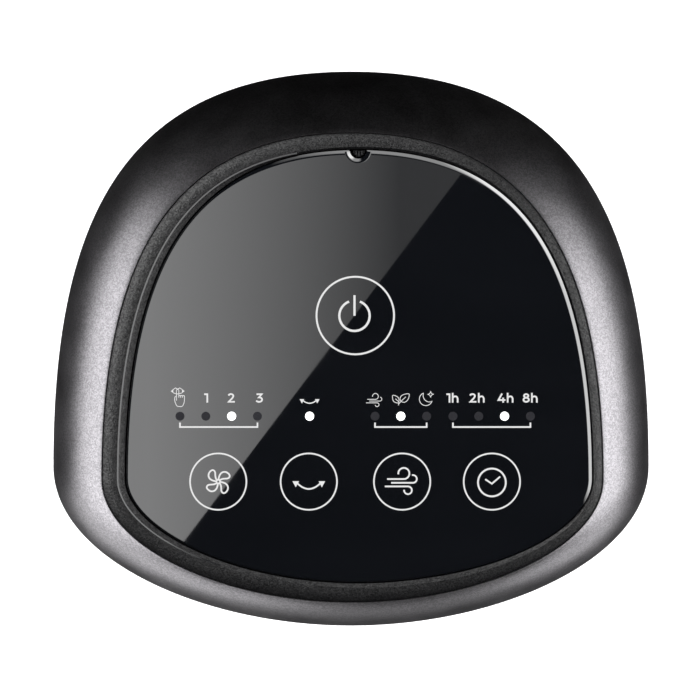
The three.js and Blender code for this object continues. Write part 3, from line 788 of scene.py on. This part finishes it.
GLYPHS = {
    "1": [[(0, 1.06), (0.88, 1.06), (0.88, -1.3)]],
    "2": [flowing([(0.1, 0.7), (0.42, 1.02), (0.95, 1.08), (1.42, 0.8), (1.42, 0.35), (1.1, -0.12),
                   (0.2, -1.06)]) + [(1.9, -1.06)]],
    "3": [[(0.1, 1.06), (1.55, 1.06), (0.75, 0.16)]
          + flowing([(0.95, 0.16), (1.45, -0.02), (1.66, -0.45), (1.4, -0.92), (0.85, -1.08),
                     (0.3, -0.98), (0, -0.74)])],
    "4": [[(1.25, 1.25), (0.24, -0.56), (2.2, -0.56)], [(1.55, 0.1), (1.55, -1.3)]],
    "h": [[(0.22, 1.45), (0.22, -1.3)],
          flowing([(0.22, -0.2), (0.45, 0.3), (0.95, 0.46), (1.4, 0.3), (1.62, -0.2)]) + [(1.62, -1.3)]],
}
EIGHT = ((0.6, 0.6, 0.47), (-0.5, 0.76, 0.57))  # for each of its rings: height, half width, half height
GLYPH_WIDTH = {"1": 1.2, "2": 2.0, "3": 1.9, "4": 2.25, "8": 2.05, "h": 1.85}


def glyph_marks(letters, centre):
    """The strokes of digits and letters in a row, with the row's middle at x = centre."""
    stroke, space, size = 0.43, 0.35, 0.92
    x = -(sum(GLYPH_WIDTH[c] for c in letters) + space * (len(letters) - 1)) / 2
    marks = []

    def add(kind, path):
        marks.append((kind, [Vector((centre + (x + px) * size, py * size)) for px, py in path], stroke))

    for c in letters:
        if c == "8":
            for y, wide, tall in EIGHT:
                add("loop", [(1.02 + wide * p.x, y + tall * p.y) for p in arc(0, 0, 1, 0, 345, 23)])
        for path in GLYPHS.get(c, []):
            add("line", path)
        x += GLYPH_WIDTH[c] + space
    return marks


def make_digits():
    for i, (letters, shift) in enumerate((("1", 0.13), ("2", 0), ("3", 0.55))):
        x = LED_GROUPS["speed"][0] + (i + 1) * LED_PITCH
        printed(f"print_digit_{letters}", glyph_marks(letters, shift), x, SIGN_Y)
    for i, (letters, shift) in enumerate((("1h", -0.13), ("2h", -0.42), ("4h", 0.25), ("8h", -0.07))):
        x = LED_GROUPS["timer"][0] + i * LED_PITCH
        printed(f"print_hours_{letters}", glyph_marks(letters, shift), x, SIGN_Y)


def make_hush_sign():
    """A finger on lips."""
    lips = [(-2.25, 1.78), (-1.55, 2.35), (-1.12, 2.6), (-0.6, 2.3), (-0.1, 2.6), (0.36, 2.35),
            (1.06, 1.78), (0.36, 1.24), (-0.6, 1.04), (-1.55, 1.24)]
    corners = [[(-2.25, 1.78), (-1.72, 1.42), (-1.72, 2.14)], [(1.06, 1.78), (0.53, 2.14), (0.53, 1.42)]]
    finger = [(-0.92, -0.65), (-0.92, 1.9), *arc(-0.61, 1.92, 0.31, 180, 0, 6), (-0.3, 1.9), (-0.3, 0.1)]
    hand = flowing([(-0.95, 0.4), (-1.28, 0.28), (-1.38, -0.4), (-1.15, -1.4), (-0.72, -2.1), (-0.06, -2.2),
                    (0.62, -2.1), (1.08, -1.06), (1.15, 0.35), (0.92, 0.62), (-0.28, 0.62)])
    ticks = [[(0.15, 0.6), (0.17, 0.1)], [(0.62, 0.62), (0.64, 0.1)]]
    marks = [("loop", lips, FINE_WIDTH)] + [("area", corner, 0) for corner in corners]
    marks += lines((finger, hand, *ticks), FINE_WIDTH)
    printed("print_hush", marks, LED_GROUPS["speed"][0], SIGN_Y)


def make_small_signs():
    printed("print_small_swing", double_arrow(2.58, 1.05, 1.2, 0.29), LED_GROUPS["swing"][0], SIGN_Y - 0.3)
    mode = LED_GROUPS["mode"][0]
    breeze = [
        [(-2, -0.34)] + arc(0.1, 0.42, 0.76, -90, 186, 16),
        [(-1.5, -0.79)] + arc(1.24, -0.28, 0.51, -90, 80, 10),
        [(-2.34, -1.25)] + arc(0.54, -1.74, 0.49, 90, -175, 12),
    ]
    printed("print_breeze", lines(breeze, FINE_WIDTH), mode, SIGN_Y)

    left = [(-0.55, -1.2), (-1.5, -1.1), (-2.05, -0.5), (-2.1, 0.65), (-1.2, 0.5), (-0.55, -0.1)]
    right = [(0.1, -0.9), (-0.2, -0.2), (0.1, 0.5), (0.9, 0.95), (2.1, 1.05), (2.05, 0.1), (1.6, -0.7),
             (0.9, -1.1)]
    veins = [[(-0.62, -1.9), (-0.5, -1.0), (-1.4, -0.2)], [(-0.5, -1.5), (0.2, -0.7), (1.3, 0.3)]]
    marks = [("loop", flowing(leaf, closed=True), FINE_WIDTH) for leaf in (left, right)]
    printed("print_leaves", marks + lines(veins, FINE_WIDTH), mode + LED_PITCH, SIGN_Y)

    moon = arc(-0.2, -0.28, 1.68, 114, 340, 28) + arc(0.76, 0.65, 1.67, -68, -198, 14)
    points = [Vector((math.cos(k * math.pi / 4), math.sin(k * math.pi / 4))) for k in range(8)]
    star = [p * (0.3 if k % 2 else 0.72) + Vector((1.03, 0.95)) for k, p in enumerate(points)]
    marks = [("loop", path, FINE_WIDTH) for path in (moon, star)]
    printed("print_moon", marks, mode + 2 * LED_PITCH, SIGN_Y)


def make_lights():
    """The lights, and a bracket under each group of more than one."""
    finish = dict(lit=lit_dot(), unlit=unlit_dot())
    number = 0
    for start, count, bright in LED_GROUPS.values():
        for i in range(count):
            number += 1
            state = "lit" if i == bright else "unlit"
            x = start + i * LED_PITCH
            printed(f"light_{number:02d}", [disc(LED_R[state])], x, LED_Y, finish[state])
        if count > 1:
            end = (count - 1) * LED_PITCH
            bracket = [(0, 1.15), (0, 0), (end, 0), (end, 1.15)]
            printed(f"print_bracket_{number:02d}", lines([bracket], SIGN_WIDTH), start, BRACKET_Y)


# ---- column ----


def stations_between(first, last, spacing, edges=(), clear=()):
    """Even stations from first to last and the exact edges; no even one is near an edge or in `clear`."""
    count = round((last - first) / spacing)
    even = [first + (last - first) * i / count for i in range(count + 1)]
    near = spacing * 0.35
    inside = [s for s in even[1:-1] if all(abs(s - e) > near for e in edges)]
    inside = [s for s in inside if not any(a < s < b for a, b in clear)]
    return sorted([first, *inside, *edges, last])


def make_front_grille():
    spec = GRILLE
    split = 0.998  # the shell ends a little short of stations -1 and 1, the widest places
    margin = 1.5  # narrow faces next to the slots keep the large ones above and below evenly shaded

    def front_station(x):
        return math.copysign(station(BODY, abs(x), False), x)

    middles = [(i - (spec["columns"] - 1) / 2) * spec["pitch"] for i in range(spec["columns"])]
    slots = [(front_station(x - spec["slot"] / 2), front_station(x + spec["slot"] / 2)) for x in middles]
    edges = [s for slot in slots for s in slot]
    stations = stations_between(-split, split, 0.03, edges, [(edges[0], edges[-1])])
    height = (spec["z1"] - spec["z0"] - (spec["rows"] - 1) * spec["rib"]) / spec["rows"]
    lows = [spec["z0"] + row * (height + spec["rib"]) for row in range(spec["rows"])]
    levels = [SHELL_Z[0]]
    for low in lows:
        levels += [low - margin, low, low + height, low + height + margin]
    levels.append(SHELL_Z[1])

    def is_open(i, k):
        middle = (stations[i] + stations[i + 1]) / 2
        return levels[k] in lows and any(a < middle < b for a, b in slots)

    shell = pierced_shell(stations, levels, is_open)
    piece("front_grille_shell", shell, satin, "column", ["front_grille"], bevel=0.45)


def screw_bores(z):
    """A counterbored hole at each side."""
    head_r, shank_r, reach = 3.5, 1.85, 20
    seat = rear_y(SCREW_X) - SCREW_SINK
    for x in (-SCREW_X, SCREW_X):
        yield pointing_rear(turned([(head_r, 0), (head_r, reach)], 32), x, seat, z)
        yield pointing_rear(turned([(shank_r, -reach), (shank_r, reach)], 24), x, seat, z)


def rounded_frame(half, z0, z1, corner, y):
    """A rounded rectangle as seen from behind; y(x) gives its depth."""
    points = []
    for x, z, start in ((half, z1, 0), (-half, z1, 90), (-half, z0, 180), (half, z0, 270)):
        cx = x - math.copysign(corner, x)
        cz = z - corner if z == z1 else z + corner
        points += [(p.x, p.y) for p in arc(cx, cz, corner, start, start + 90, 8)]
    dense = []
    for i, p in enumerate(points):
        q = points[(i + 1) % len(points)]
        parts = max(1, round(math.dist(p, q) / 5))
        step = ((q[0] - p[0]) / parts, (q[1] - p[1]) / parts)
        dense += [(p[0] + step[0] * k, p[1] + step[1] * k) for k in range(parts)]
    return [(x, y(x), z) for x, z in dense]


def make_rear_housing():
    """The rear of the shell: one piece round the intake and one round the handle."""
    split = 1.0008
    stations = stations_between(split, 4 - split, 0.025)
    joint = GAP / 2
    room = 0.5  # round the intake cover
    grow = HANDLE["wall"] + GAP
    around_cover = (INTAKE["half"] + room, INTAKE["z0"] - room, INTAKE["z1"] + room, 3)
    around_handle = (HANDLE["half"] + grow, HANDLE["z0"] - grow, HANDLE["z1"] + grow,
                     HANDLE["corner"] + HANDLE["wall"])
    parts = (
        ("rear_housing", (SHELL_Z[0], HOUSING_SPLIT_Z - joint), around_cover),
        ("handle_housing", (HOUSING_SPLIT_Z + joint, SHELL_Z[1]), around_handle),
    )
    for (name, levels, frame_size), screw_z in zip(parts, SCREW_Z):
        shell = pierced_shell(stations, levels, lambda i, k: False)
        opening = loft([rounded_frame(*frame_size, lambda x, y=y: y) for y in (30, 100)], capped=True)
        piece(f"{name}_shell", shell, satin, "column", [name], bevel=0.4,
              cuts=[opening, *screw_bores(screw_z)])


def make_handle():
    """A pocket with a curved rim, and a grip along its upper edge."""
    h = HANDLE
    wall, floor = h["wall"], h["floor"]

    def frame_ring(grow, y):
        return rounded_frame(h["half"] + grow, h["z0"] - grow, h["z1"] + grow, h["corner"] + grow, y)

    def flat(grow, y):
        return frame_ring(grow, lambda x: y)

    def curved(grow, drop):
        return frame_ring(grow, lambda x: rear_y(min(abs(x), 60)) - drop)

    rings = [flat(wall, floor - wall), curved(wall, 0.9), curved(wall - 0.25, 0.55), curved(0.5, 0.55),
             curved(0.12, 0.8), curved(0, 1.3), flat(0, floor + 3), flat(-0.5, floor + 1), flat(-2, floor)]
    pocket = loft(rings, capped=True)
    piece("handle_pocket", pocket, matte, "column", ["handle_cup"], sharp=50)
    z0, z1 = h["z1"] - h["grip_depth"], h["z1"] - GAP
    half = h["half"] - GAP
    steps = [-half + 2 * half * i / 40 for i in range(41)]
    plan = [(x, h["grip_y"]) for x in steps] + [(x, rear_y(x) - 1.4) for x in reversed(steps)]
    piece("handle_lip", prism(plan, z0, z1), matte, "column", ["handle_grip"], bevel=1.0)


def make_housing_screws():
    """Pan-head cross screws, one shape for all."""
    seat = rear_y(SCREW_X) - SCREW_SINK + GAP
    head = turned([(0.9, -9), (1.5, -8), (1.5, 0), (2.9, 0.02), (3, 0.3), (2.85, 1.1), (2.3, 1.6),
                   (1.4, 1.85), (0.5, 1.95)], 32)
    long, narrow, depth, top = 1.5, 0.3, 0.9, 4
    slots = [block(-x, x, -y, y, depth, top) for x, y in ((long, narrow), (narrow, long))]
    for row, z in enumerate(SCREW_Z):
        for i, side in enumerate((-1, 1)):
            at = (side * SCREW_X, seat, z)
            name = f"housing_screw_{2 * row + i + 1}"
            piece(f"{name}_cross", pointing_rear(head, *at), oxide, "column", [name],
                  cuts=[pointing_rear(s, *at) for s in slots])


def make_intake_cover():
    spec = INTAKE
    reach, mullion, half = (station(BODY, spec[k], True) for k in ("reach", "mullion", "half"))
    openings = [(reach, mullion), (4 - mullion, 4 - reach)]
    edges = [s for pair in openings for s in pair]
    stations = stations_between(half, 4 - half, 0.03, edges)
    levels = [spec["z0"]]
    first = spec["z0"] + spec["border"] + (spec["pitch"] - spec["slot"]) / 2
    for row in range(spec["rows"]):
        low = first + row * spec["pitch"]
        levels += [low, low + spec["slot"]]
    levels.append(spec["z1"])

    def is_open(i, k):
        middle = (stations[i] + stations[i + 1]) / 2
        return k % 2 == 1 and any(a < middle < b for a, b in openings)

    cover = pierced_shell(stations, levels, is_open)
    piece("intake_grille", cover, satin, "intake_cover", ["intake_cover"], bevel=0.4)


def make_filter():
    low, high = span("filter_media")
    pleats, margin, sheet = 30, 0.3, 0.9
    width = high[0] - low[0]
    near, far = low[1] + 0.2, high[1] - 1.2
    folds = [Vector((low[0] + margin + i * (width - 2 * margin) / (2 * pleats), far if i % 2 else near))
             for i in range(2 * pleats + 1)]
    back = [p + Vector((0, sheet)) for p in folds][::-1]
    media = prism(folds + back, low[2], high[2])
    piece("pleated_media", media, paper, "intake_cover", ["filter_media"])


def make_foot():
    """The pan under the column, and below it the skirt round the swivel."""
    upstand = FOOT_Z + PAN_DEPTH
    floor_z = FOOT_Z + 3
    shell_low = SHELL_Z[0] - GAP
    inside = WALL + GAP
    motor_y = (span("swing_motor")[0][1] + span("swing_motor")[1][1]) / 2
    profile = [
        (14, FOOT_Z), (5, FOOT_Z), (2.4, FOOT_Z + 0.35), (1.2, FOOT_Z + 1.1), (0.4, FOOT_Z + 2.2),
        (0, FOOT_Z + 3.6), (0, shell_low - 0.4), (0.35, shell_low), (inside, shell_low),
        (inside, upstand - 0.4), (inside + 0.4, upstand), (5.2, upstand), (5.2, floor_z), (14, floor_z),
    ]
    holes = ((19.8, 0), (4.4, motor_y))  # radius and y: one for the spindle, one for the pinion's shaft
    bores = [turned([(r, 20), (r, 60)], 64, 0, y) for r, y in holes]
    pan = loft([ring(BODY, inset, z) for inset, z in profile], capped=True)
    bores += screw_bores(SCREW_Z[0])
    piece("foot_pan", pan, satin, "column", ["column_foot"], cuts=bores)
    low, high = BASE_TOP_Z + 2.6, FOOT_Z + 0.5
    near, far = 60.5, 64  # the skirt's inner and outer radius
    skirt = lathe([(near, low), (far, low), (far, high), (near, high)], 120)
    lug_r, lug_top, lug_x = 4, 47, 29.5  # the lugs under the swing motor's ears
    lugs = [turned([(lug_r, floor_z - 0.3), (lug_r, lug_top)], 32, x, motor_y) for x in (-lug_x, lug_x)]
    piece("foot_skirt", together(skirt, *lugs), satin, "column", bevel=0.2)


# ---- blower ----


def make_wheel():
    """Thin discs on a shaft, with curved blades round their edge."""
    low, high = WHEEL_Z
    discs, thick, blades = 8, 2, 34
    bore_r, hub_r, ring_width = 4.3, 9, 13
    blade_r, blade_depth, blade_thick = WHEEL_R - 0.6, 12, 0.9
    curl, lean = 0.16, 0.06  # in radians, from a blade's outer edge to its inner one
    shapes = []
    for i in range(discs):
        z = low + (high - low - thick) * i / (discs - 1)
        inner_r = bore_r if i in (0, discs - 1) else WHEEL_R - ring_width
        shapes.append(lathe([(inner_r, z), (WHEEL_R, z), (WHEEL_R, z + thick), (inner_r, z + thick)], 72))
    for blade in range(blades):
        angle = 2 * math.pi * blade / blades
        near, far = [], []
        for k in range(7):
            s = k / 6
            r = blade_r - s * blade_depth
            a = angle + curl * math.sin(math.pi / 2 * s) + lean * s
            b = a + blade_thick / r
            near.append((r * math.cos(a), r * math.sin(a)))
            far.append((r * math.cos(b), r * math.sin(b)))
        shapes.append(prism(near[::-1] + far, low + 1, high - 1))
    hub = [(bore_r, low), (hub_r, low), (hub_r, low + 15.5), (hub_r - 0.5, low + 16), (bore_r, low + 16)]
    shapes.append(lathe(hub, 40))
    shapes.append(lathe([(3.3, high - 14), (8, high - 14), (8, high), (3.3, high)], 40))
    piece("crossflow_wheel", together(*shapes), inner, "fan_wheel", ["fan_wheel"])


# ---- base ----


def make_base():
    """A dome with a rounded rim, a raised middle and a hole for the gland."""
    top, underside = BASE_TOP_Z, BASE_TOP_Z - 3
    bore = BASE_BORE_R
    rim_inner = BASE_R - 2.5
    bend, bend_z = 4.6, 11.2
    profile = [(rim_inner, 5), (BASE_R - 0.5, 5), (BASE_R, 5.5), (BASE_R, bend_z)]
    profile += [(BASE_R - bend + p.x, bend_z + p.y) for p in arc(0, 0, bend, 8, 76, 8)]
    profile += [(132, 16.9), (120, 19.2), (104, 21.9), (90, 23.9), (80, 25.4), (76.5, 26.3), (73.5, 27.8),
                (70.5, 30), (68.6, 31.6), (66.8, 32.6), (65, top)]
    profile += [(bore + 0.4, top), (bore, top - 0.4), (bore, underside), (62, underside), (76, 23.6),
                (rim_inner, 13.6)]
    hole = pointing_rear(turned([(4.3, 0), (4.3, 40)], 40), 0, 118, GLAND_Z)
    piece("base_dome", lathe(profile, 192), matte, "base", ["base_cover"], cuts=[hole])


def make_feet():
    for i in range(4):
        name = f"rubber_foot_{i + 1}"
        low, high = span(name)
        x, y = (low[0] + high[0]) / 2, (low[1] + high[1]) / 2
        profile = [(6.5, 0), (8.2, 0.35), (9, 1.4), (9, high[2] - 0.5), (8.7, high[2])]
        piece(f"{name}_pad", turned(profile, 48, x, y), rubber, "base", [name])


def make_gland():
    low, high = span("cord_gland")
    length = high[1] - low[1]
    bore = 2.9
    profile = [(bore, 0), (5.2, 0), (5.4, 0.3), (5.4, 3.8), (4, 4.2), (4, length - 1.2), (4, length - 0.8),
               (3.7, length), (bore + 0.3, length), (bore, length - 0.3)]
    bush = pointing_rear(lathe(profile, 48), 0, low[1], GLAND_Z)
    piece("cord_bush", bush, rubber, "base", ["cord_gland"])


# ---- studio ----


def emission(name, strength_of):
    """A material that gives light and hides nothing; strength_of(tree) gives its strength's socket."""
    material = bpy.data.materials.new(name)
    material.use_nodes = True
    tree = material.node_tree
    tree.nodes.clear()
    shader = node(tree, "Emission", Strength=strength_of(tree))
    both = tree.nodes.new("ShaderNodeAddShader")
    tree.links.new(shader.outputs[0], both.inputs[0])
    tree.links.new(tree.nodes.new("ShaderNodeBsdfTransparent").outputs[0], both.inputs[1])
    tree.links.new(both.outputs[0], tree.nodes.new("ShaderNodeOutputMaterial").inputs["Surface"])
    return material


def staged(name, corners, material, camera_sees=False, gloss_sees=True, diffuse_sees=True):
    """A flat shape that belongs to the studio and not to the fan."""
    mesh = bpy.data.meshes.new(name)
    mesh.from_pydata(corners, [], [tuple(range(len(corners)))])
    obj = bpy.data.objects.new(name, mesh)
    scene.collection.objects.link(obj)
    mesh.materials.append(material)
    obj.visible_camera = camera_sees
    obj.visible_glossy = gloss_sees
    obj.visible_diffuse = diffuse_sees
    obj.visible_shadow = False
    return obj


def lights_only(light, objects, state="INCLUDE"):
    """Lets a light reach these objects only, or all but these with state "EXCLUDE"."""
    group = bpy.data.collections.new(light.name + "_lights")
    for obj in objects:
        group.objects.link(obj)
    for member in group.collection_objects:
        member.light_linking.link_state = state
    light.light_linking.receiver_collection = group


def softbox(name, bearing, height, distance, width, tall, radiance, aim_z=0.93, only=None, without=None):
    """A soft-edged light that faces the fan. Seen from above, bearing counts clockwise from the rear."""
    a = math.radians(bearing)
    place_at = Vector((distance * math.sin(a), distance * math.cos(a), height))

    def strength(tree):
        centre = tree.nodes.new("ShaderNodeTexCoord").outputs["Object"]
        glow = node(tree, "TexGradient", Vector=centre)
        glow.gradient_type = "SPHERICAL"
        return between(tree, glow.outputs["Fac"], 0.0, radiance, 0.0, 0.45)

    corners = [(-1, -1, 0), (1, -1, 0), (1, 1, 0), (-1, 1, 0)]
    box = staged(name, corners, emission(name, strength))
    box.location = place_at
    box.scale = (width / 2, tall / 2, 1)
    box.rotation_euler = (Vector((0, 0, aim_z)) - place_at).to_track_quat("-Z", "Y").to_euler()
    if only:
        lights_only(box, only)
    if without:
        lights_only(box, without, "EXCLUDE")


def make_world():
    scene.view_settings.view_transform = "Standard"
    world = bpy.data.worlds.new("studio")
    world.use_nodes = True
    world.node_tree.nodes["Background"].inputs["Color"].default_value = (0.93, 0.935, 0.94, 1)
    scene.world = world
    world.cycles_visibility.glossy = False


def make_floor():
    material, tree, shader = blank("floor", roughness=0.9, specular=0.1)
    drive(tree, shader, "Base Color", noise(tree, 400), (0.86, 0.86, 0.86), (0.9, 0.9, 0.9))
    glowing(shader, 0.35)
    half = 6
    corners = [(-half, -half, 0), (half, -half, 0), (half, half, 0), (-half, half, 0)]
    floor = staged("floor", corners, material, camera_sees=True, gloss_sees=False)
    floor.location.z = -0.0005


def make_card(mirrors):
    """A card over the glass: its straight edge shows as the slanting edge of the reflection."""
    glass_z = GLASS_Z * MM
    lift = 1.5
    spread = 1 + lift / (CAMERA_Z - glass_z)
    edge = [(0.0283, 0.0451), (-0.0436, -0.0503)]  # two points of the slanting edge, on the glass
    fade_left, fade_right = -0.0522, 0.0127  # where the reflection is brightest and dimmest, on the glass
    (x1, y1), (x0, y0) = [(x * spread, y * spread) for x, y in edge]
    slope = (x1 - x0) / (y1 - y0)
    reach = 0.42
    corners = [(x1 + slope * (reach - y1), reach), (-reach, reach), (-reach, -reach),
               (x0 - slope * (reach + y0), -reach)]

    def fade(tree):
        position = tree.nodes.new("ShaderNodeNewGeometry").outputs["Position"]
        x = node(tree, "SeparateXYZ", Vector=position).outputs["X"]
        return between(tree, x, 4.9, 0.7, fade_left * spread, fade_right * spread)

    corners = [(x, y, glass_z + lift) for x, y in corners]
    card = staged("glass_card", corners, emission("glass_card", fade), diffuse_sees=False)
    lights_only(card, mirrors)


def make_boxes(touch_glass, bezel, column_pieces):
    """The softboxes: bearing, height, distance, width, tall side, radiance."""
    softbox("right_box", 100, 1.36, 1.1, 2.15, 1.95, 3.5, without=[touch_glass, bezel])
    softbox("left_box", 256, 1.41, 1.1, 2.8, 1.78, 3.3, without=[touch_glass, bezel])
    softbox("front_box", 180, 0.35, 1.1, 1.3, 0.9, 0.45, without=[bezel])
    softbox("right_front_box", 137, 0.5, 1.25, 1.3, 1.0, 1.6)
    softbox("left_front_box", 221, 0.53, 1.25, 2.0, 1.25, 1.7, without=[bezel])
    softbox("key_strip", 70, 1.95, 0.84, 2.4, 0.6, 14, only=[touch_glass])
    softbox("rear_key_strip", 28, 1.95, 0.84, 1.8, 0.6, 6, only=[touch_glass])
    softbox("rear_trim_box", 0, 1.72, 0.95, 1.4, 1.1, 1.5, only=[bezel])
    softbox("right_trim_box", 90, 1.7, 0.9, 1.4, 1.4, 3.9, only=[bezel])
    softbox("left_trim_box", 291, 1.75, 0.87, 1.9, 1.45, 4.4, only=[bezel])
    for name, bearing in (("front_low", 180), ("rear_low", 0), ("right_low", 90), ("left_low", 270)):
        softbox(name, bearing, 0.2, 1.6, 1.6, 1.2, 1.6, aim_z=0.4, only=column_pieces)


# ---- assembly ----

dress_cad_nodes()
make_shoulder()
bezel, land = make_bezel()
touch_glass = make_glass()
make_tab()
make_power_sign()
make_fan_sign()
make_swing_sign()
make_wind_sign()
make_clock_sign()
make_digits()
make_hush_sign()
make_small_signs()
make_lights()
make_front_grille()
make_rear_housing()
make_handle()
make_housing_screws()
make_intake_cover()
make_filter()
make_foot()
make_wheel()
make_base()
make_feet()
make_gland()
head = ("shoulder_cover", "bezel", "touch_glass", "glass_key", "print_", "light_")
column_pieces = [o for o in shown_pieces() if not o.name.startswith(head)]
make_world()
make_floor()
make_card([touch_glass, land])
make_boxes(touch_glass, bezel, column_pieces)
